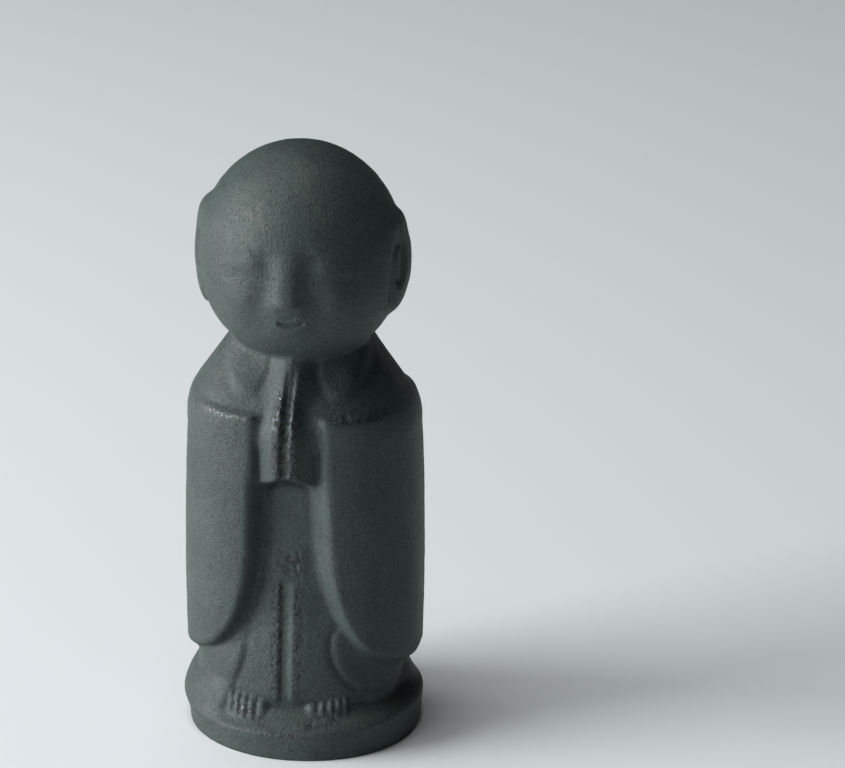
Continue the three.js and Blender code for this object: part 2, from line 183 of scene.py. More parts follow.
def sleeve_outline(x, y, z):
    """Gap to a sleeve's outline from the front: a straight inner edge and, below it, a quarter
    of an oval that turns outward to the hem. The hem drops a little round the side."""
    drop = HEM_SIDE_DROP * ramp(*HEM_SIDE_SPAN, y) + HEM_BACK_DROP * ramp(*HEM_BACK_SPAN, y)
    turn = SLEEVE_TURN_Z - drop * (1.0 - RIGHT_DROP_LESS * ramp(*RIGHT_SPAN, x))
    edge = SLEEVE_EDGE_X + sided(x, SLEEVE_LEANS) * (SLEEVE_TOP_Z - z)
    right = rightward(x)
    edge = edge - RIGHT_EDGE_IN * right - LEFT_EDGE_IN * (1.0 - right) * ramp(*LEFT_IN_SPAN, z)
    across = np.maximum(edge + SLEEVE_CORNER_X - np.abs(x), 0.0) * ramp(*CUT_FADE_SPAN, y)
    down = np.maximum(turn - z, 0.0)
    power = SLEEVE_CORNER_POWER
    q = (across / SLEEVE_CORNER_X) ** power + (down / (SLEEVE_TURN_Z - SLEEVE_HEM_Z)) ** power
    q = np.maximum(q, TINY) ** (1.0 / power)
    return np.maximum(np.sqrt(across ** 2 + down ** 2 + HAIR ** 2) * (1.0 - 1.0 / q), OUTLINE_DEEPEST)


def sleeves(x, y, z):
    """The robe's oval, kept inside the sleeve outline; the cut walls slope in as they deepen."""
    body = oval_gap(x, y - ROBE_CENTRE_Y, robe_half(x, z), ROBE_FRONT, robe_back(z), robe_power(y))
    draft = sided(x, SLEEVE_DRAFTS)
    cut = (sleeve_outline(x, y, z) + draft * body) / np.hypot(1.0, draft)
    f = soft_max(body, cut, sided(x, SLEEVE_ROUNDS))
    return soft_max(f, (z - SLEEVE_TOP_Z) * SLEEVE_TOP_SLOPE, SLEEVE_TOP_ROUND)


# Belly, belt, knot, skirt and sash between the sleeves. A panel is its nearest edge to the
# middle, how fast it curves away and the height where it is nearest.
PANEL_LEFT, PANEL_RIGHT = (6.4, 0.018, 21.0), (6.15, 0.062, 16.7)
PANEL_TURN_SPAN = (PANEL_RIGHT[2], 19.0)
HEM_Z, HEM_EASE, HEM_STEP, HEM_HALF = 8.0, 0.8, 0.14, 9.0
BELLY_FRONT, SKIRT_FRONT, SKIRT_SPAN = 11.1, 12.6, (26.0, HEM_Z)
CORE_HALF, CORE_INSET, CORE_FACE, CORE_TOP_Z, CORE_ROUND = 15.6, 0.9, (3.0, 7.0), 50.0, 1.0
NOTCH_DEPTH, NOTCH_SPAN = 1.2, (16.0, 12.0)
BELT_LOW_Z, BELT_TOP_Z, BELT_EASE, BELT_RISE = 26.2, 32.0, 0.8, 0.24
KNOT_Z, KNOT_HALF, KNOT_RISE = 29.2, 2.45, 0.28
SKIRT_TOP_Z, SKIRT_TOP_EASE, SKIRT_LOW_Z, SKIRT_LOW_EASE = 26.1, 0.7, 7.8, 1.1
SASH_X, SASH_HALF, SASH_RISE, SASH_CUT = -0.4, 3.4, 0.6, 0.42
CUT_LEFT_SPAN, CUT_RIGHT_SPAN = (-1.9, -1.15), (0.65, -0.65)
ARCH_Z, ARCH_SAG, ARCH_WIDTH, ARCH_HALF, ARCH_DEPTH = 41.9, 0.045, 0.75, 5.0, 0.55
FOLD_DEPTHS, FOLD_OFF, FOLD_WIDTH = (0.08, 0.35), 0.3, 0.6
FOLD_LOW_SPAN, FOLD_TOP_SPAN = (HEM_Z, HEM_Z + 2.0), (21.0, 18.0)
CORE_SINK, CORE_SINK_ROUND = 0.5, 0.35


def panel_edge(x, z):
    """Where the outer robe opens over the skirt: a parabola each side, unlike on left and right."""
    near, bend, level = PANEL_LEFT
    left = near + bend * (z - level) ** 2
    near, bend, level = PANEL_RIGHT
    right = near + bend * (z - level) ** 2 * (1.0 + ramp(*PANEL_TURN_SPAN, z))
    return np.where(x < 0, left, right)


def core(x, y, z):
    """Belly, belt, square knot and skirt between the sleeves, as raised bands on one oval."""
    front = BELLY_FRONT + (SKIRT_FRONT - BELLY_FRONT) * ramp(*SKIRT_SPAN, z)
    half = CORE_HALF - NOTCH_DEPTH * ramp(*NOTCH_SPAN, z) * ramp(*RIGHT_SPAN, x)
    half = np.minimum(half, robe_half(x, z) - CORE_INSET)
    f = oval_gap(x, y - ROBE_CENTRE_Y, half, front + ROBE_CENTRE_Y, robe_back(z), robe_power(y))
    ahead = ramp(*CORE_FACE, -y)
    belt = above(BELT_LOW_Z, BELT_EASE, z) * below(BELT_TOP_Z, BELT_EASE, z)
    knot = hill(x / KNOT_HALF, 6) * hill((z - KNOT_Z) / KNOT_HALF, 6)
    skirt = below(SKIRT_TOP_Z, SKIRT_TOP_EASE, z) * above(SKIRT_LOW_Z, SKIRT_LOW_EASE, z)
    sash = SASH_RISE * hill((x - SASH_X) / SASH_HALF, 2)
    sash = sash - SASH_CUT * ramp(*CUT_LEFT_SPAN, x) * ramp(*CUT_RIGHT_SPAN, x)
    arch = hill((z - ARCH_Z + ARCH_SAG * x * x) / ARCH_WIDTH, 2) * hill(x / ARCH_HALF, 4)
    f = f - ahead * (BELT_RISE * belt + KNOT_RISE * knot + skirt * sash - ARCH_DEPTH * arch)
    beside = hill((np.abs(x) - panel_edge(x, z) + FOLD_OFF) / FOLD_WIDTH, 2)
    beside = beside * ramp(*FOLD_LOW_SPAN, z) * ramp(*FOLD_TOP_SPAN, z)
    f = f + ahead * sided(x, FOLD_DEPTHS) * beside
    f = soft_max(f, z - CORE_TOP_Z, CORE_ROUND)
    f = f + ahead * HEM_STEP * below(HEM_Z, HEM_EASE, z) * hill(x / HEM_HALF, 6)
    return soft_max(f, BASE_WALL - CORE_SINK - z, CORE_SINK_ROUND)


# Under-robe, which shows below the sleeves and swells over the base. A tuck is how much the
# front draws in and over which heights.
UNDER_X, UNDER_HALF, UNDER_FRONT, UNDER_BACK, UNDER_TOP_Z = -0.5, 14.6, 13.55, 11.9, 24.0
UNDER_BACK_POWER, UNDER_RIGHT_IN, UNDER_ROUND = 2.3, 0.6, 1.0
FLARE, FLARE_TOP_Z, FLARE_POWER = 2.75, 9.7, 1.8
FLARE_LOSS, LOSS_SPAN_X, LOSS_SPAN_Y = 0.8, (2.0, 8.0), (3.0, -5.0)
FLARE_FRONT, FLARE_LEFT, FLARE_BACK, FLARE_SHIFT = 0.12, 0.12, 1.35, 0.12
LOW_TUCK, LOW_TUCK_SPAN, TOP_TUCK, TOP_TUCK_SPAN = 0.7, (11.0, 19.0), 1.2, (18.5, 22.5)
LEFT_TUCK, LEFT_TUCK_SPAN, LEFT_TUCK_SIDE = 0.5, (13.0, 17.0), (1.0, -3.0)
OPENING_BACK_Y, OPENING_DRAFT, OPENING_STEEPNESS, OPENING_ROUND, NO_CUT = 2.0, 0.9, 1.35, 0.5, -9.0
UNDER_SINK, UNDER_SINK_ROUND = 0.6, 0.4


def under_robe(x, y, z):
    """The outer robe below the sleeves: an oval whose rim swells over the base as
    1 - t^1.8, open in front along the panel edges."""
    t = np.clip((z - BASE_WALL) / (FLARE_TOP_Z - BASE_WALL), 0.0, 1.0)
    loss = FLARE_LOSS * ramp(*LOSS_SPAN_Y, y) * ramp(*LOSS_SPAN_X, x)
    flare = FLARE * (1.0 - t ** FLARE_POWER) * (1.0 - loss)
    power = np.where(y < ROBE_CENTRE_Y, FRONT_POWER, UNDER_BACK_POWER)
    front = UNDER_FRONT + FLARE_FRONT * flare - LOW_TUCK * ramp(*LOW_TUCK_SPAN, z)
    front = front - TOP_TUCK * ramp(*TOP_TUCK_SPAN, z)
    front = front - LEFT_TUCK * ramp(*LEFT_TUCK_SPAN, z) * ramp(*LEFT_TUCK_SIDE, x)
    half = UNDER_HALF + flare * (1.0 + FLARE_LEFT * ramp(*LEFT_SPAN, x))
    half = half - UNDER_RIGHT_IN * ramp(*RIGHT_SPAN, x)
    back = UNDER_BACK + FLARE_BACK * flare
    f = oval_gap(x - UNDER_X - FLARE_SHIFT * flare, y - ROBE_CENTRE_Y, half, front, back, power)
    wall = (panel_edge(x, z) - np.abs(x) + OPENING_DRAFT * f) / OPENING_STEEPNESS
    f = soft_max(f, np.where(y < OPENING_BACK_Y, wall, NO_CUT), OPENING_ROUND)
    f = soft_max(f, z - UNDER_TOP_Z, UNDER_ROUND)
    return soft_max(f, BASE_WALL - UNDER_SINK - z, UNDER_SINK_ROUND)


# Hands pressed together. Reach is how far the finger edges stand in front of the middle.
HANDS_X, HANDS_TOP_Z, HANDS_LOW_Z, HANDS_DEPTH = -0.1, 61.5, 42.3, 3.9
HANDS_REACH, LEAN_BACK, LEAN_BACK_SPAN = 15.1, 5.3, (49.0, 62.5)
TUCK_IN, TUCK_IN_SPAN = 0.4, (49.0, HANDS_LOW_Z)
HANDS_HALF_LOW, HANDS_HALF_TOP, HANDS_HALF_SPAN = 5.1, 3.0, (48.0, 61.0)
CUFF_SPREAD, CUFF_RIGHT_MORE, CUFF_SPAN = 0.8, 0.35, (58.0, 44.0)
CREST_X, CREST_NARROWING, CREST_SPAN = 1.75, 0.6, (48.0, 58.0)
RIGHT_CREST_IN, RIGHT_CREST_SIDE, RIGHT_CREST_SPAN = 0.7, (-0.5, 0.5), (58.0, 52.0)
EDGE_ROUND, TIP_ROUND_MORE, TIP_ROUND_SPAN = 0.7, 1.2, (54.0, 60.0)
PALM_GAP, PALM_GAP_SLANT, PALM_GAP_Z, PALM_GAP_SPAN = 0.5, 0.04, 48.0, (61.0, 55.0)
GAP_LEFT_SPAN, GAP_RIGHT_SPAN = (-1.35, -0.55), (0.65, -0.1)
WRIST_ARCH, WRIST_ARCH_HALF, WRIST_TILT, WRIST_DROP = 1.3, 2.8, 0.03, 0.75
WRIST_SLOPE, WRIST_SLOPE_FROM, WRIST_STEEPNESS, WRIST_ROUND = 0.3, 12.0, 0.9, 0.4
HANDS_TOP_ROUND, HANDS_ROOT, HANDS_ROOT_ROUND = 2.2, 5.0, 0.5


def hands(x, y, z):
    """A wedge: two finger edges with a groove between, sides falling away to the chest."""
    d = -y
    reach = HANDS_REACH - LEAN_BACK * ramp(*LEAN_BACK_SPAN, z) - TUCK_IN * ramp(*TUCK_IN_SPAN, z)
    half = HANDS_HALF_LOW + (HANDS_HALF_TOP - HANDS_HALF_LOW) * ramp(*HANDS_HALF_SPAN, z)
    half = half + (CUFF_SPREAD + CUFF_RIGHT_MORE * rightward(x)) * ramp(*CUFF_SPAN, z)
    crest = CREST_X - CREST_NARROWING * ramp(*CREST_SPAN, z)
    lean = (half - crest) / HANDS_DEPTH
    crest = crest - RIGHT_CREST_IN * ramp(*RIGHT_CREST_SIDE, x) * ramp(*RIGHT_CREST_SPAN, z)
    side = (np.abs(x - HANDS_X) - crest - (reach - d) * lean) / np.hypot(1.0, lean)
    f = soft_max(d - reach, side, EDGE_ROUND + TIP_ROUND_MORE * ramp(*TIP_ROUND_SPAN, z))
    u = x - PALM_GAP_SLANT * (z - PALM_GAP_Z)
    gap = ramp(*GAP_LEFT_SPAN, u) * ramp(*GAP_RIGHT_SPAN, u)
    f = f + PALM_GAP * gap * ramp(*PALM_GAP_SPAN, z)
    wrist = HANDS_LOW_Z + WRIST_ARCH * hill(x / WRIST_ARCH_HALF, 2) - WRIST_TILT * x - WRIST_DROP
    wrist = wrist + WRIST_SLOPE * (d - WRIST_SLOPE_FROM)
    f = soft_max(f, (wrist - z) * WRIST_STEEPNESS, WRIST_ROUND)
    return soft_max(soft_max(f, z - HANDS_TOP_Z, HANDS_TOP_ROUND), HANDS_ROOT - d, HANDS_ROOT_ROUND)


# Feet, seen as toes under the hem.
FEET_X, FOOT_INNER_X, FOOT_WIDTH, FOOT_REACH, FOOT_BACK_Y = -0.35, 2.95, 5.6, 13.7, -8.0
BLOCK_SHORT, BLOCK_SLOPE, BLOCK_SLOPE_Z, BLOCK_LOWEST, BLOCK_TURN, BLOCK_TOP_Z = 0.6, 0.4, 4.7, 4.1, 0.12, 7.0
BLOCK_INNER_ROUND, BLOCK_ROUND, BLOCK_BACK_ROUND = 0.4, 0.6, 0.3
TOE_WIDTHS, TOE_LOW_Z, TOE_TOP_Z = (1.6, 1.2, 1.1, 1.0, 0.85), 4.9, 6.9
TOE_LOW_STEPS, TOE_TOP_STEP, TOE_FALLS, TOE_RAKE = (0.3, 0.42), 0.12, (0.1, 0.07), 0.32
TOE_HALF, TOE_DEEP, TOE_END, TOE_BLEND = 0.58, 0.62, 0.9, 0.25


def feet(x, y, z):
    """Each foot is a low block under the hem, its front cut into five short round-ended toes
    like flutes, the big one innermost and furthest forward, the outer tips higher."""
    u = np.abs(x - FEET_X)
    slope = BLOCK_SLOPE * (np.maximum(z, BLOCK_LOWEST) - BLOCK_SLOPE_Z)
    block = BLOCK_SHORT - y - FOOT_REACH + slope + BLOCK_TURN * (u - FOOT_INNER_X)
    block = soft_max(block, FOOT_INNER_X - u, BLOCK_INNER_ROUND)
    block = soft_max(block, u - FOOT_INNER_X - FOOT_WIDTH, BLOCK_ROUND)
    block = soft_max(block, z - BLOCK_TOP_Z, BLOCK_ROUND)
    f = soft_max(block, y - FOOT_BACK_Y, BLOCK_BACK_ROUND)
    left = FOOT_INNER_X
    for i, width in enumerate(TOE_WIDTHS):
        middle = left + width / 2
        left = left + width
        low, high = TOE_LOW_Z + sided(x, TOE_LOW_STEPS) * i, TOE_TOP_Z + TOE_TOP_STEP * i
        tip = FOOT_REACH - TOE_FALLS[0] * i - TOE_FALLS[1] * i * i - width / 2 - TOE_RAKE * (z - low)
        across, deep = (u - middle) / (TOE_HALF * width), (-y - tip) / (TOE_DEEP * width)
        beyond = (z - np.clip(z, low, high)) / TOE_END
        q = np.sqrt(across ** 2 + deep ** 2 + beyond ** 2 + TINY)
        f = soft_min(f, (q - 1.0) * width / 2, TOE_BLEND)
    return f


# Ears.
EAR_X, EAR_Y, EAR_Z, EAR_TURN = 13.3, -3.2, 73.0, 0.3
EAR_THICK, EAR_DEEP, EAR_TALL, RIGHT_EAR_SHORTER = 1.8, 4.7, 7.2, 0.5
BOWL_OUT, BOWL_AHEAD, BOWL_UP, BOWL_HALVES, BOWL_ROUND = 1.9, 1.6, 0.6, (1.35, 1.9, 4.9), 0.35


def ears(x, y, z):
    """A long flat egg on each side, turned a little forward, with a hollow scooped in front."""
    u, v, w = np.abs(x) - EAR_X, y - EAR_Y, z - EAR_Z
    c, s = math.cos(EAR_TURN), math.sin(EAR_TURN)
    tall = EAR_TALL - RIGHT_EAR_SHORTER * rightward(x)
    pad = egg_gap(u * c - v * s, u * s + v * c, w, EAR_THICK, EAR_DEEP, tall)
    bowl = egg_gap(u - BOWL_OUT, v + BOWL_AHEAD, w - BOWL_UP, *BOWL_HALVES)
    return soft_max(pad, -bowl, BOWL_ROUND)


# Head and face. A spot is its middle across and up, then its half sizes.
HEAD_Y, HEAD_Z, HEAD_HALF_X, HEAD_HALF_Y, JAW_POWER, SKULL_POWER = -2.4, 74.3, 14.6, 13.2, 2.3, 2.0
FACE_X, FACE_SPAN = 0.4, (1.0, 6.0)
EYE_X, EYE_Z, SOCKET_DEPTH = 6.4, 76.1, 0.32
SOCKET = (EYE_X, EYE_Z, 4.0, 2.7)
LID_HALF_X, LID_HALF_Z, LID_BEND, LID_RISE = 2.7, 1.5, 0.03, 0.4
VALLEY_X, VALLEY_FROM_Z, VALLEY_SLANT, VALLEY_WIDTH = 3.0, 75.3, 0.28, 1.5
VALLEY_Z, VALLEY_HALF, VALLEY_DEPTH = 73.0, 5.0, 0.16
CORNER, CORNER_DEPTH = (3.4, 76.6, 1.5, 1.6), 0.18
BROW_Z, BROW_X, BROW_BEND, BROW_MIDDLE, BROW_HALF = 77.2, 4.5, 0.04, 5.9, 3.2
BROW_LINE, BROW_LINE_HALF, BROW_RISE, BROW_RISE_UP, BROW_RISE_HALF = 0.17, 0.4, 0.07, 1.0, 0.9
NOSE_X, NOSE_TOP_Z, NOSE_FOOT_Z = -0.12, 78.4, 70.2
NOSE_FOOT_SPAN = (NOSE_FOOT_Z - 1.7, NOSE_FOOT_Z + 0.8)
NOSE_RISE, NOSE_RISE_POWER, NOSE_HALF_TOP, NOSE_SPREAD = 1.05, 1.05, 1.45, 0.9
NOSTRIL_Z, NOSTRIL_HALF, NOSTRIL_SPAN, NOSTRIL_DEPTH = NOSE_FOOT_Z - 0.5, 0.35, (1.7, 1.1), 0.16
CHEEK, CHEEK_RISE = (7.0, 70.0, 2.8, 3.4), 0.4
MOUTH_X, MOUTH_Z, SMILE_BEND, MOUTH_WIDTH, MOUTH_SPAN, MOUTH_DEPTH = 0.3, 67.25, 0.11, 0.34, (2.0, 1.55), 0.4
LIPS_Z, LIPS_HALF_X, LIPS_HALF_Z, LIPS_RISE = MOUTH_Z + 0.3, 3.1, 3.0, 0.5
UPPER_LIP_Z, UPPER_LIP_WIDTH, UPPER_LIP_SPAN, UPPER_LIP_DEPTH = MOUTH_Z + 1.3, 0.28, (1.3, 0.8), 0.12


def spot(u, z, middle_u, middle_z, half_u, half_z):
    """A round bump of height 1: one bell curve across times one bell curve up."""
    return hill((u - middle_u) / half_u, 2) * hill((z - middle_z) / half_z, 2)


def face_relief(x, z):
    """How far the face stands proud of the egg: lids, nose, lips and cheeks rise as hills;
    sockets, the sides of the nose, brow lines and the mouth sink."""
    u = np.abs(x)
    valley = hill((u - VALLEY_X - VALLEY_SLANT * (VALLEY_FROM_Z - z)) / VALLEY_WIDTH, 2)
    sunk = SOCKET_DEPTH * spot(u, z, *SOCKET) + CORNER_DEPTH * spot(u, z, *CORNER)
    sunk = sunk + VALLEY_DEPTH * valley * hill((z - VALLEY_Z) / VALLEY_HALF, 4)
    brow = z - BROW_Z + BROW_BEND * (u - BROW_X) ** 2
    line = BROW_LINE * hill(brow / BROW_LINE_HALF, 2)
    line = line - BROW_RISE * hill((brow - BROW_RISE_UP) / BROW_RISE_HALF, 2)
    sunk = sunk + line * hill((u - BROW_MIDDLE) / BROW_HALF, 6)
    lid = z - EYE_Z + LID_BEND * (u - EYE_X) ** 2
    proud = LID_RISE * hill((u - EYE_X) / LID_HALF_X, 3) * hill(lid / LID_HALF_Z, 2.4)
    low = np.clip((NOSE_TOP_Z - z) / (NOSE_TOP_Z - NOSE_FOOT_Z), 0.0, 1.0)
    nose = NOSE_RISE * low ** NOSE_RISE_POWER * ramp(*NOSE_FOOT_SPAN, z)
    proud = proud + nose * hill((x - NOSE_X) / (NOSE_HALF_TOP + NOSE_SPREAD * low), 2.7)
    proud = proud + LIPS_RISE * hill(x / LIPS_HALF_X, 3) * hill((z - LIPS_Z) / LIPS_HALF_Z, 3)
    proud = proud + CHEEK_RISE * spot(u, z, *CHEEK)
    sunk = sunk + NOSTRIL_DEPTH * hill((z - NOSTRIL_Z) / NOSTRIL_HALF, 2) * ramp(*NOSTRIL_SPAN, u)
    smile = hill((z - MOUTH_Z - SMILE_BEND * (x - MOUTH_X) ** 2) / MOUTH_WIDTH, 2)
    sunk = sunk + MOUTH_DEPTH * smile * ramp(*MOUTH_SPAN, np.abs(x - MOUTH_X))
    upper_lip = hill((z - UPPER_LIP_Z) / UPPER_LIP_WIDTH, 2) * ramp(*UPPER_LIP_SPAN, u)
    return proud - sunk - UPPER_LIP_DEPTH * upper_lip


def head(x, y, z):
    """An egg, squarer below its widest level than above it, with the face's relief in front."""
    power = np.where(z < HEAD_Z, JAW_POWER, SKULL_POWER)
    level = np.sqrt((x / HEAD_HALF_X) ** 2 + ((y - HEAD_Y) / HEAD_HALF_Y) ** 2 + TINY)
    q = (level ** power + np.abs((z - HEAD_Z) / (HEIGHT - HEAD_Z)) ** power) ** (1.0 / power)
    f = np.sqrt(x * x + (y - HEAD_Y) ** 2 + (z - HEAD_Z) ** 2) * (1.0 - 1.0 / q)
    return f - ramp(*FACE_SPAN, HEAD_Y - y) * face_relief(x - FACE_X, z)


# The joins: each has its own fillet, wider where the casting runs softly from part to part.
CORE_JOIN, SLEEVE_JOIN, FEET_JOIN, NECK_JOIN = 1.0, 0.5, 0.45, 0.9
HANDS_JOIN, HANDS_TIP_JOIN, HANDS_TIP_SPAN = 0.6, 3.2, (52.0, 60.0)
UNDER_JOIN, FLARE_JOIN, FLARE_SPAN_Z, FLARE_SPAN_Y = 0.35, 1.6, (9.5, 6.5), (-2.0, -6.0)
BASE_JOIN, BASE_LEFT_JOIN, BASE_SPAN_X, BASE_SPAN_Y = 0.45, 1.4, (0.0, -5.0), (-4.0, -9.0)
EAR_JOIN, EAR_TOP_JOIN, EAR_TOP_SPAN = 0.35, 3.2, (75.5, 80.5)
LOBE_JOIN, LOBE_SPAN, LOBE_SIDE = 1.2, (70.0, 67.0), (0.0, 5.0)
EAR_LINE_DEPTH, EAR_LINE_WIDTH, EAR_LINE_SPAN = 0.45, 0.4, (EAR_Y, EAR_Y - 1.5)
EAR_LINE_Z, EAR_LINE_HALF = EAR_Z - 0.5, 6.0


def figure(x, y, z):
    """The whole casting: the smallest of all the gaps, each join with its own fillet."""
    f = soft_min(chest(x, y, z), core(x, y, z), CORE_JOIN)
    f = soft_min(f, sleeves(x, y, z), SLEEVE_JOIN)
    f = soft_min(f, hands(x, y, z), HANDS_JOIN + HANDS_TIP_JOIN * ramp(*HANDS_TIP_SPAN, z))
    flare_join = FLARE_JOIN * ramp(*FLARE_SPAN_Z, z) * ramp(*FLARE_SPAN_Y, y)
    f = soft_min(f, under_robe(x, y, z), UNDER_JOIN + flare_join)
    left_join = BASE_LEFT_JOIN * ramp(*BASE_SPAN_X, x) * ramp(*BASE_SPAN_Y, y)
    f = soft_min(f, base(x, y, z), BASE_JOIN + left_join)
    f = soft_min(f, feet(x, y, z), FEET_JOIN)
    skull, pad = head(x, y, z), ears(x, y, z)
    merge = EAR_JOIN + EAR_TOP_JOIN * ramp(*EAR_TOP_SPAN, z)
    merge = merge + LOBE_JOIN * ramp(*LOBE_SPAN, z) * ramp(*LOBE_SIDE, x)
    line = hill((pad - skull) / EAR_LINE_WIDTH, 2) * ramp(*EAR_LINE_SPAN, y)
    line = line * hill((z - EAR_LINE_Z) / EAR_LINE_HALF, 6)
    return soft_min(f, soft_min(skull, pad, merge) + EAR_LINE_DEPTH * line, NECK_JOIN)


# The skin is a grid of level rows and of columns round the figure. A closer band is its level,
# half height, how many times denser it is there, and its bell's power.
COLUMNS, SIDE_ROWS, CROWN_ROWS, CORE_WIDTH = 320, 252, 46, 12.0
CLOSER_BANDS = ((BASE_WALL, 1.2, 1.2, 2), (7.5, 2.5, 1.3, 2), (SLEEVE_HEM_Z - 1.0, 2.0, 0.8, 2),
                (43.0, 1.2, 0.7, 2), (SLEEVE_TOP_Z, 1.5, 0.8, 2), (69.0, 9.0, 0.8, 4))
LEVEL_SAMPLES = 4001
EDGE_ANGLE, OUTER_REACH, WIDEST_EDGE = 0.34, 0.62, 10.5
EDGE_LOW_SPAN, EDGE_TOP_SPAN = (SLEEVE_HEM_Z - 10.0, SLEEVE_HEM_Z + 1.0), (62.0, SLEEVE_TOP_Z)
SEARCH_FROM, SEARCH_STEPS, HALVINGS, ANGLE_TURNS = 22.0, 64, 13, 20


def row_heights():
    """Heights of the level rows: the inverse of a running sum of closeness, which is
    higher at the rim, hem, hands, sleeve tops and face."""
    z = np.linspace(0.0, HEAD_Z, LEVEL_SAMPLES)
    close = 1.0 + sum(more * hill((z - level) / half, power) for level, half, more, power in CLOSER_BANDS)
    total = np.concatenate([[0.0], np.cumsum(0.5 * (close[1:] + close[:-1]))])
    return np.interp(np.linspace(0.0, total[-1], SIDE_ROWS), total, z)


def column_angles(z):
    """Angles of the search lines of one row: crowded at the front as (t + t^3) / 2, and eased
    so that one column runs along the sleeve's inner edge."""
    t = -1.0 + 2.0 * np.arange(COLUMNS) / COLUMNS
    plain = math.pi * (0.5 * t + 0.5 * t ** 3)
    s = np.clip((SLEEVE_TURN_Z - z) / (SLEEVE_TURN_Z - SLEEVE_HEM_Z), 0.0, 1.0)
    lean = SLEEVE_EDGE_X + SLEEVE_LEANS[1] * (SLEEVE_TOP_Z - np.minimum(z, SLEEVE_TOP_Z))
    turn = 1.0 - (1.0 - s ** SLEEVE_CORNER_POWER) ** (1.0 / SLEEVE_CORNER_POWER)
    edge = np.minimum(lean + SLEEVE_CORNER_X * turn, WIDEST_EDGE)
    angle = np.full_like(z, EDGE_ANGLE)
    for _ in range(ANGLE_TURNS):
        angle = np.arcsin(edge / (CORE_WIDTH / 2 + (ROBE_FRONT - ROBE_CENTRE_Y) / np.cos(angle)))
    shift = (angle - EDGE_ANGLE) * ramp(*EDGE_LOW_SPAN, z) * ramp(*EDGE_TOP_SPAN, z)
    away = np.abs(plain) - EDGE_ANGLE
    share = np.minimum(np.abs(away) / np.where(away < 0, EDGE_ANGLE, OUTER_REACH), 1.0)
    share = np.cos(share * math.pi / 2) ** 2
    return plain[None, :] + np.sign(plain)[None, :] * shift[:, None] * share[None, :]


def outermost(start, direction):
    """Step each line inward from outside until it enters the iron, then halve the last step."""
    step = SEARCH_FROM / SEARCH_STEPS
    enter = np.full(len(start), step)
    active = np.arange(len(start))
    for i in range(SEARCH_STEPS):
        t = SEARCH_FROM - i * step
        inside = figure(*(start[active] + direction[active] * t).T) < 0
        enter[active[inside]] = t
        active = active[~inside]
        if len(active) == 0:
            break
    lo, hi = enter, enter + step
    for _ in range(HALVINGS):
        mid = 0.5 * (lo + hi)
        inside = figure(*(start + direction * mid[:, None]).T) < 0
        lo, hi = np.where(inside, mid, lo), np.where(inside, hi, mid)
    return start + direction * lo[:, None]


def surface_grid():
    """Points where level lines fanned out from a flat core, then lines tilting up to the
    crown, meet the casting: rows up the figure by columns round it."""
    z = np.concatenate([row_heights(), np.full(CROWN_ROWS, HEAD_Z)])
    tilt = np.zeros(len(z))
    tilt[SIDE_ROWS:] = np.arange(1, CROWN_ROWS + 1) * (math.pi / 2) / (CROWN_ROWS + 1)
    around = column_angles(z)
    flat = np.cos(tilt)[:, None]
    up = np.broadcast_to(np.sin(tilt)[:, None], around.shape)
    direction = np.stack([np.sin(around) * flat, -np.cos(around) * flat, up], -1)
    start = np.zeros_like(direction)
    start[..., 0] = CORE_WIDTH / 2 * direction[..., 0]
    start[..., 2] = z[:, None]
    hit = outermost(start.reshape(-1, 3), direction.reshape(-1, 3))
    return hit.reshape(direction.shape)


def grid_normals(grid):
    """Outward normals: the cross product of the grid's steps round and up."""
    across = np.roll(grid, -1, axis=1) - np.roll(grid, 1, axis=1)
    up = np.gradient(grid, axis=0)
    n = np.cross(across, up).reshape(-1, 3)
    return n / (np.linalg.norm(n, axis=1)[:, None] + TINY)


grid = surface_grid()
crown = outermost(np.array([[0.0, 0.0, HEAD_Z]]), np.array([[0.0, 0.0, 1.0]]))
points = grid.reshape(-1, 3)
normals = grid_normals(grid)

# How far the surface bulges or sinks within half a millimetre: the mean gap at four points
# set off along the skin. Bulging crests are the ones that hands and shelves rub.
BULGE_OFF = 0.5
side = np.cross(normals, [0.0, 0.0, 1.0])
side = side / (np.linalg.norm(side, axis=1)[:, None] + TINY)
rise = np.cross(normals, side)
bulge = sum(figure(*(points + BULGE_OFF * offset).T) for offset in (side, -side, rise, -rise)) / 4

# Where the patina is rubbed through, where the casting is rough, and where a highlight is painted
# on the forehead. A share says how bare a crest is rubbed.
FRONT_SPAN, NEAR_SPAN, TIP_SPAN = (9.0, 11.0), (6.0, 9.0), (11.5, 12.6)
FINGER_HALF, FINGER_LOW_SPAN, FINGER_TOP_SPAN, FINGER_SHARE = 2.1, (42.5, 44.5), (60.0, 57.0), 0.75
KNOT_X, KNOT_RUB_HALF_X, KNOT_RUB_HALF_Z, KNOT_SHARE = -0.2, 2.3, 2.2, 0.7
CUT_RUB_LEFT, CUT_RUB_RIGHT, CUT_RUB_SHARE = (-1.9, 0.9), (1.2, 0.7), 0.8
CUT_RUB_TOP_SPAN, CUT_RUB_LOW_SPAN = (26.5, 25.0), (7.5, 10.0)
SHELF_Z, SHELF_HALF, SHELF_SPAN, SHELF_SHARE = SLEEVE_TOP_Z - 0.7, 0.7, (14.5, 12.5), 0.9
PITTED_SHELF_Z, PITTED_FRONT_SPAN = SLEEVE_TOP_Z - 0.2, (4.0, 8.0)
PITTED_INNER_SPAN, PITTED_OUTER_SPAN = (5.0, 6.0), (15.0, 13.0)
TOES_SPAN, TOES_X, TOES_HALF_X, TOES_RUB_Z = (11.6, 12.4), 5.9, 3.2, 5.2
TOES_RUB_HALF, TOES_RISE, TOES_RISE_FROM = 0.7, 0.25, 3.0
RIM_X, RIM_HALF_X, RIM_Z, RIM_HALF_Z, RIM_SPAN, RIM_SHARE = 0.3, 3.0, 4.05, 0.4, (15.2, 15.7), 0.8
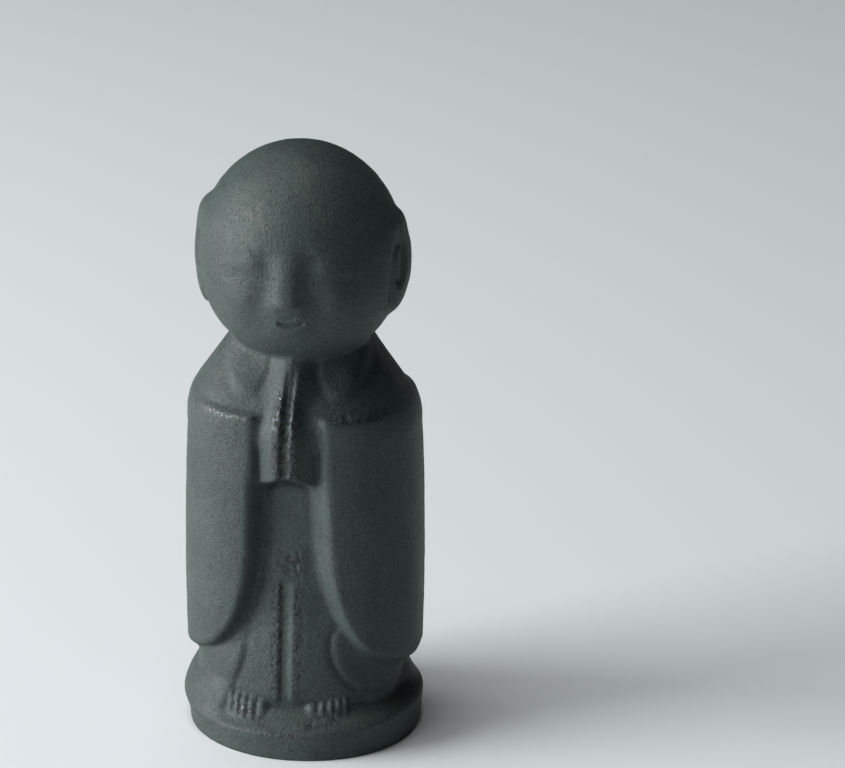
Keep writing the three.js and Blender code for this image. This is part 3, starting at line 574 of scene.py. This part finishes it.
FOREHEAD_HIGHLIGHT = (-4.6, 82.3, 1.9, 3.0)
px, py, pz = points[:, 0], points[:, 1], points[:, 2]
front = ramp(*FRONT_SPAN, -py)
rubbed = front * hill((px - HANDS_X) / FINGER_HALF, 6) * ramp(*TIP_SPAN, -py)
rubbed = rubbed * ramp(*FINGER_LOW_SPAN, pz) * ramp(*FINGER_TOP_SPAN, pz)
knot = front * hill((px - KNOT_X) / KNOT_RUB_HALF_X, 6) * hill((pz - KNOT_Z) / KNOT_RUB_HALF_Z, 6)
sash = sum(front * hill((px - middle) / half, 4) for middle, half in (CUT_RUB_LEFT, CUT_RUB_RIGHT))
sash = sash * ramp(*CUT_RUB_TOP_SPAN, pz) * ramp(*CUT_RUB_LOW_SPAN, pz)
sleeve_tops = hill((pz - SHELF_Z) / SHELF_HALF, 2) * ramp(*SHELF_SPAN, np.abs(px)) * ramp(*NEAR_SPAN, -py)
right_top = hill((pz - PITTED_SHELF_Z) / SHELF_HALF, 2) * ramp(*PITTED_FRONT_SPAN, -py)
right_top = right_top * ramp(*PITTED_INNER_SPAN, px) * ramp(*PITTED_OUTER_SPAN, px)
outward = np.abs(px - FEET_X)
toes = ramp(*TOES_SPAN, -py) * hill((outward - TOES_X) / TOES_HALF_X, 8)
toes = toes * hill((pz - TOES_RUB_Z - TOES_RISE * (outward - TOES_RISE_FROM)) / TOES_RUB_HALF, 4)
rim = hill((pz - RIM_Z) / RIM_HALF_Z, 2) * hill((px - RIM_X) / RIM_HALF_X, 6) * ramp(*RIM_SPAN, -py)
# Painted highlight: a pale patch on the upper left of the forehead, where the light from the left falls most.
forehead_highlight = front * spot(px, pz, *FOREHEAD_HIGHLIGHT)
rough_spots = np.clip(rubbed + knot + sash + right_top + toes + rim, 0.0, 1.0)
crests = FINGER_SHARE * rubbed + KNOT_SHARE * knot + CUT_RUB_SHARE * sash
crests = np.clip(crests + SHELF_SHARE * sleeve_tops + toes + RIM_SHARE * rim, 0.0, 1.0)

# A crest is rubbed more where it bulges, and any sharp bulge is rubbed a little.
EVEN_SHARE, BULGE_SHARE, BULGE_GAIN, BULGE_LEAST, BULGE_MOST = 0.55, 0.9, 9.0, -0.3, 0.5
SHARP_BULGE, SHARP_GAIN, SHARP_MOST = 0.05, 4.0, 0.35
swell = np.clip(BULGE_GAIN * bulge, BULGE_LEAST, BULGE_MOST)
sharp = np.clip(SHARP_GAIN * (bulge - SHARP_BULGE), 0.0, SHARP_MOST)
wear = np.clip(crests * (EVEN_SHARE + BULGE_SHARE * swell) + sharp, 0.0, 1.0)

# Unevenness of the skin, from three sizes of seeded noise, left out at the very bottom.
LATTICE = 32


def lattice_noise(p, size, seed):
    """Smooth noise from -1 to 1: seeded random values on a cubic lattice of this cell size,
    blended between the eight corners with a smooth step."""
    values = np.random.default_rng(seed).uniform(-1.0, 1.0, (LATTICE, LATTICE, LATTICE))
    q = p / size
    cell = np.floor(q).astype(int)
    s = ramp(0.0, 1.0, q - cell)
    total = np.zeros(len(p))
    for corner in np.ndindex(2, 2, 2):
        i = (cell + corner) % LATTICE
        weight = np.prod(np.where(corner, s, 1.0 - s), axis=1)
        total += weight * values[i[:, 0], i[:, 1], i[:, 2]]
    return total


COARSE, MEDIUM, FINE = (2.6, 11), (0.9, 12), (0.42, 13)
COARSE_LUMP, MEDIUM_LUMP, FINE_LUMP, LUMP_SPAN = 0.035, 0.02, 0.012, (0.0, 0.5)
PIT_DEPTH, PIT_FINE, PIT_MEDIUM, PIT_FROM = 0.3, 0.9, 0.4, 0.2
coarse, medium, fine = (lattice_noise(points, *grade) for grade in (COARSE, MEDIUM, FINE))
lump = COARSE_LUMP * coarse + MEDIUM_LUMP * medium + FINE_LUMP * fine
pitting = np.clip(PIT_FINE * fine + PIT_MEDIUM * medium - PIT_FROM, 0.0, 1.0)
lump = lump - PIT_DEPTH * pitting * rough_spots
points = points + normals * (lump * ramp(*LUMP_SPAN, pz))[:, None]

# Four-cornered faces between the rows, and a fan of triangles at the crown and underneath.
MILLIMETRE = 0.001
vertices = np.vstack([points, crown, [[0.0, 0.0, 0.0]]]) * MILLIMETRE
rows = len(grid)
r = np.arange(rows - 1)[:, None] * COLUMNS
c = np.arange(COLUMNS)[None, :]
n = (c + 1) % COLUMNS
quads = np.stack([r + c, r + n, r + COLUMNS + n, r + COLUMNS + c], -1).reshape(-1, 4)
last = (rows - 1) * COLUMNS
c, n = c[0], n[0]
caps = np.concatenate([np.stack([last + c, last + n, np.full(COLUMNS, rows * COLUMNS)], -1),
                       np.stack([n, c, np.full(COLUMNS, rows * COLUMNS + 1)], -1)])
mesh = bpy.data.meshes.new("iron_figure")
mesh.vertices.add(len(vertices))
mesh.vertices.foreach_set("co", vertices.ravel())
mesh.loops.add(quads.size + caps.size)
mesh.loops.foreach_set("vertex_index", np.concatenate([quads.ravel(), caps.ravel()]))
starts = np.concatenate([np.arange(len(quads)) * 4, quads.size + np.arange(len(caps)) * 3])
mesh.polygons.add(len(starts))
mesh.polygons.foreach_set("loop_start", starts)
mesh.update(calc_edges=True)
mesh.validate()
mesh.polygons.foreach_set("use_smooth", np.arange(len(starts)) < len(starts) - COLUMNS)
for name, values in (("wear", wear), ("rough", rough_spots), ("bulge", bulge), ("pale", forehead_highlight)):
    attribute = mesh.attributes.new(name, "FLOAT", "POINT")
    attribute.data.foreach_set("value", np.concatenate([values, [0.0, 0.0]]))
piece = bpy.data.objects.new("iron_figure", mesh)
bpy.context.scene.collection.objects.link(piece)

# Patinated iron: cloudy grey-green with dark and pale sand grains, pits, bare metal on the crests, and a
# painted highlight on the upper left of the forehead.
# A grain is how many cells there are to the metre, its detail and its roughness.
PATINA = (0.0365, 0.052, 0.0485)
PATINA_PALE = (0.057, 0.077, 0.07)
PATINA_DARK = (0.022, 0.032, 0.031)
PIT_DARK = (0.016, 0.021, 0.022)
SPECKLE_DARK = (0.014, 0.017, 0.02)
# Pale grey of the painted highlight on the forehead.
HIGHLIGHT_COLOUR = (0.105, 0.105, 0.098)
BARE_IRON = (0.075, 0.075, 0.085)
SHEEN, BUMP_HEIGHT = 0.28, 0.0001
PIT_SCALE, PIT_RADIUS, PIT_SHARE, PIT_CORE, PIT_EASE = 850.0, 0.15, 0.6, 0.6, 0.02
CLOUD, GRAIN, SAND = (110.0, 4.0, 0.6), (1500.0, 3.0, 0.7), (3600.0, 2.0, 0.6)
WEAR_GRAIN, SPECKLE_GRAIN, HIGHLIGHT_GRAIN = (1700.0, 3.0, 0.7), (1300.0, 3.0, 0.7), (800.0, 4.0, 0.7)

iron = bpy.data.materials.new("patinated_iron")
iron.use_nodes = True
nodes, links = iron.node_tree.nodes, iron.node_tree.links
shader = nodes["Principled BSDF"]
shader.inputs["Specular IOR Level"].default_value = SHEEN
coords = nodes.new("ShaderNodeTexCoord")


def noise(scale, detail, rough):
    """Noise from 0 to 1 in object coordinates."""
    node = nodes.new("ShaderNodeTexNoise")
    for name, number in (("Scale", scale), ("Detail", detail), ("Roughness", rough)):
        node.inputs[name].default_value = number
    links.new(coords.outputs["Object"], node.inputs["Vector"])
    return node.outputs["Fac"]


def painted(name):
    """One of the mesh's own values."""
    node = nodes.new("ShaderNodeAttribute")
    node.attribute_name = name
    return node.outputs["Fac"]


def mapped(value, low, high, to_low, to_high):
    """Straight remap of a value, held within its ends."""
    node = nodes.new("ShaderNodeMapRange")
    for name, number in (("From Min", low), ("From Max", high), ("To Min", to_low), ("To Max", to_high)):
        node.inputs[name].default_value = number
    links.new(value, node.inputs["Value"])
    return node.outputs["Result"]


def blend(factor, a, b):
    """Mix of two colours by a factor; each is a colour or a socket."""
    node = nodes.new("ShaderNodeMix")
    node.data_type = "RGBA"
    links.new(factor, node.inputs["Factor"])
    for socket, value in ((node.inputs[6], a), (node.inputs[7], b)):
        if isinstance(value, tuple):
            socket.default_value = value + (1.0,)
        else:
            links.new(value, socket)
    return node.outputs[2]


def combine(operation, a, b):
    """One arithmetic step on two sockets."""
    node = nodes.new("ShaderNodeMath")
    node.operation = operation
    node.use_clamp = operation != "SUBTRACT"
    links.new(a, node.inputs[0])
    links.new(b, node.inputs[1])
    return node.outputs[0]


def specks(scale, radius, share):
    """Small round marks: points within a radius of scattered seeds, for a share of the seeds."""
    node = nodes.new("ShaderNodeTexVoronoi")
    node.inputs["Scale"].default_value = scale
    links.new(coords.outputs["Object"], node.inputs["Vector"])
    split = nodes.new("ShaderNodeSeparateColor")
    links.new(node.outputs["Color"], split.inputs["Color"])
    chosen = mapped(split.outputs["Red"], 1.0 - share, 1.0 - share + PIT_EASE, 0.0, 1.0)
    return combine("MULTIPLY", chosen, mapped(node.outputs["Distance"], radius, radius * PIT_CORE, 0.0, 1.0))


cloud = mapped(noise(*CLOUD), 0.35, 0.65, 0.0, 1.0)
grain = noise(*GRAIN)
sand = noise(*SAND)
pits = specks(PIT_SCALE, PIT_RADIUS, PIT_SHARE)
rough = painted("rough")
worn = combine("MULTIPLY", painted("wear"), mapped(noise(*WEAR_GRAIN), 0.44, 0.58, 0.0, 1.0))
speckle = combine("MULTIPLY", rough, mapped(noise(*SPECKLE_GRAIN), 0.5, 0.57, 0.0, 1.0))
# Painted highlight on the forehead, broken up by noise.
painted_highlight = combine("MULTIPLY", painted("pale"), mapped(noise(*HIGHLIGHT_GRAIN), 0.45, 0.65, 0.0, 0.6))

colour = blend(cloud, PATINA, PATINA_PALE)
colour = blend(mapped(grain, 0.3, 0.7, 0.55, 0.0), colour, PATINA_DARK)
colour = blend(mapped(painted("bulge"), -0.02, -0.12, 0.0, 0.6), colour, PATINA_DARK)
colour = blend(mapped(sand, 0.5, 0.28, 0.0, 0.9), colour, PATINA_DARK)
colour = blend(mapped(sand, 0.5, 0.7, 0.0, 0.9), colour, PATINA_PALE)
# Painted highlight: the forehead patch turns pale grey.
colour = blend(painted_highlight, colour, HIGHLIGHT_COLOUR)
colour = blend(mapped(pits, 0.0, 1.0, 0.0, 0.8), colour, PIT_DARK)
colour = blend(mapped(rough, 0.0, 1.0, 0.0, 0.2), colour, PATINA_DARK)
colour = blend(mapped(speckle, 0.0, 1.0, 0.0, 0.85), colour, SPECKLE_DARK)
colour = blend(mapped(worn, 0.25, 0.7, 0.0, 1.0), colour, BARE_IRON)
links.new(colour, shader.inputs["Base Color"])
links.new(mapped(worn, 0.25, 0.7, 0.0, 0.9), shader.inputs["Metallic"])
patina_rough = mapped(grain, 0.3, 0.7, 0.62, 0.5)
polish = mapped(worn, 0.2, 0.7, 0.0, 0.24)
links.new(combine("SUBTRACT", patina_rough, polish), shader.inputs["Roughness"])

height = combine("ADD", mapped(grain, 0.2, 0.8, 0.0, 0.35), mapped(sand, 0.2, 0.8, 0.0, 0.6))
height = combine("SUBTRACT", height, mapped(pits, 0.0, 1.0, 0.0, 0.6))
height = combine("SUBTRACT", height, mapped(speckle, 0.0, 1.0, 0.0, 0.8))
bump = nodes.new("ShaderNodeBump")
bump.inputs["Strength"].default_value = 1.0
bump.inputs["Distance"].default_value = BUMP_HEIGHT
links.new(height, bump.inputs["Height"])
links.new(bump.outputs["Normal"], shader.inputs["Normal"])
mesh.materials.append(iron)

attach(piece, "root")
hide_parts("jizo_figure")

# Floor: a wide sheet of pale matt paper under the figure, plain and without a pattern. It is
# part of the stage, not of the object.
PAPER, PAPER_ROUGH, FLOOR_HALF = (0.77, 0.81, 0.83, 1.0), 0.9, 3.0
corners = [(-FLOOR_HALF, -FLOOR_HALF, 0), (FLOOR_HALF, -FLOOR_HALF, 0),
           (FLOOR_HALF, FLOOR_HALF, 0), (-FLOOR_HALF, FLOOR_HALF, 0)]
floor_mesh = bpy.data.meshes.new("floor")
floor_mesh.from_pydata(corners, [], [(0, 1, 2, 3)])
floor = bpy.data.objects.new("floor", floor_mesh)
bpy.context.scene.collection.objects.link(floor)
paper = bpy.data.materials.new("paper")
paper.use_nodes = True
paper.node_tree.nodes["Principled BSDF"].inputs["Base Color"].default_value = PAPER
paper.node_tree.nodes["Principled BSDF"].inputs["Roughness"].default_value = PAPER_ROUGH
floor_mesh.materials.append(paper)

# Lights: one large soft light low on the left, a weaker one overhead, and a faint cool fill from
# all round. A lamp is its place, width and power, and points at the middle of the figure.
LAMPS = {"window": ((-0.8, -0.30, 0.20), 0.5, 15.7), "ceiling": ((-0.18, -0.05, 0.9), 0.6, 4.6)}
FIGURE_MIDDLE = Vector((0.0, 0.0, HEIGHT / 2 * MILLIMETRE))
FILL_COLOUR, FILL_STRENGTH = (0.66, 0.9, 1.0, 1.0), 0.018
for name, (place, width, power) in LAMPS.items():
    lamp = bpy.data.lights.new(name, "AREA")
    lamp.size = width
    lamp.energy = power
    light = bpy.data.objects.new(name, lamp)
    light.location = place
    light.rotation_euler = (FIGURE_MIDDLE - light.location).to_track_quat("-Z", "Y").to_euler()
    bpy.context.scene.collection.objects.link(light)
world = bpy.data.worlds.new("studio")
world.use_nodes = True
world.node_tree.nodes["Background"].inputs["Color"].default_value = FILL_COLOUR
world.node_tree.nodes["Background"].inputs["Strength"].default_value = FILL_STRENGTH
bpy.context.scene.world = world
bpy.context.scene.view_settings.view_transform = "Standard"

# Camera: a long lens from a little above, turned by a small roll, with the figure left of the
# middle of the picture.
CAMERA_PLACE, CAMERA_AIM, CAMERA_ROLL = (0.0979, -0.5552, 0.2811), (0.01718, 0.0, 0.05369), 0.57
SENSOR_WIDTH, FOCAL_LENGTH, NEAREST = 36.0, 180.0, 0.05
lens = bpy.data.cameras.new("camera")
lens.sensor_width = SENSOR_WIDTH
lens.lens = FOCAL_LENGTH
lens.clip_start = NEAREST
camera = bpy.data.objects.new("camera", lens)
camera.location = CAMERA_PLACE
aim = (Vector(CAMERA_AIM) - camera.location).to_track_quat("-Z", "Y")
roll = Matrix.Rotation(math.radians(CAMERA_ROLL), 4, "Z").to_quaternion()
camera.rotation_euler = (aim @ roll).to_euler()
bpy.context.scene.collection.objects.link(camera)
bpy.context.scene.camera = camera
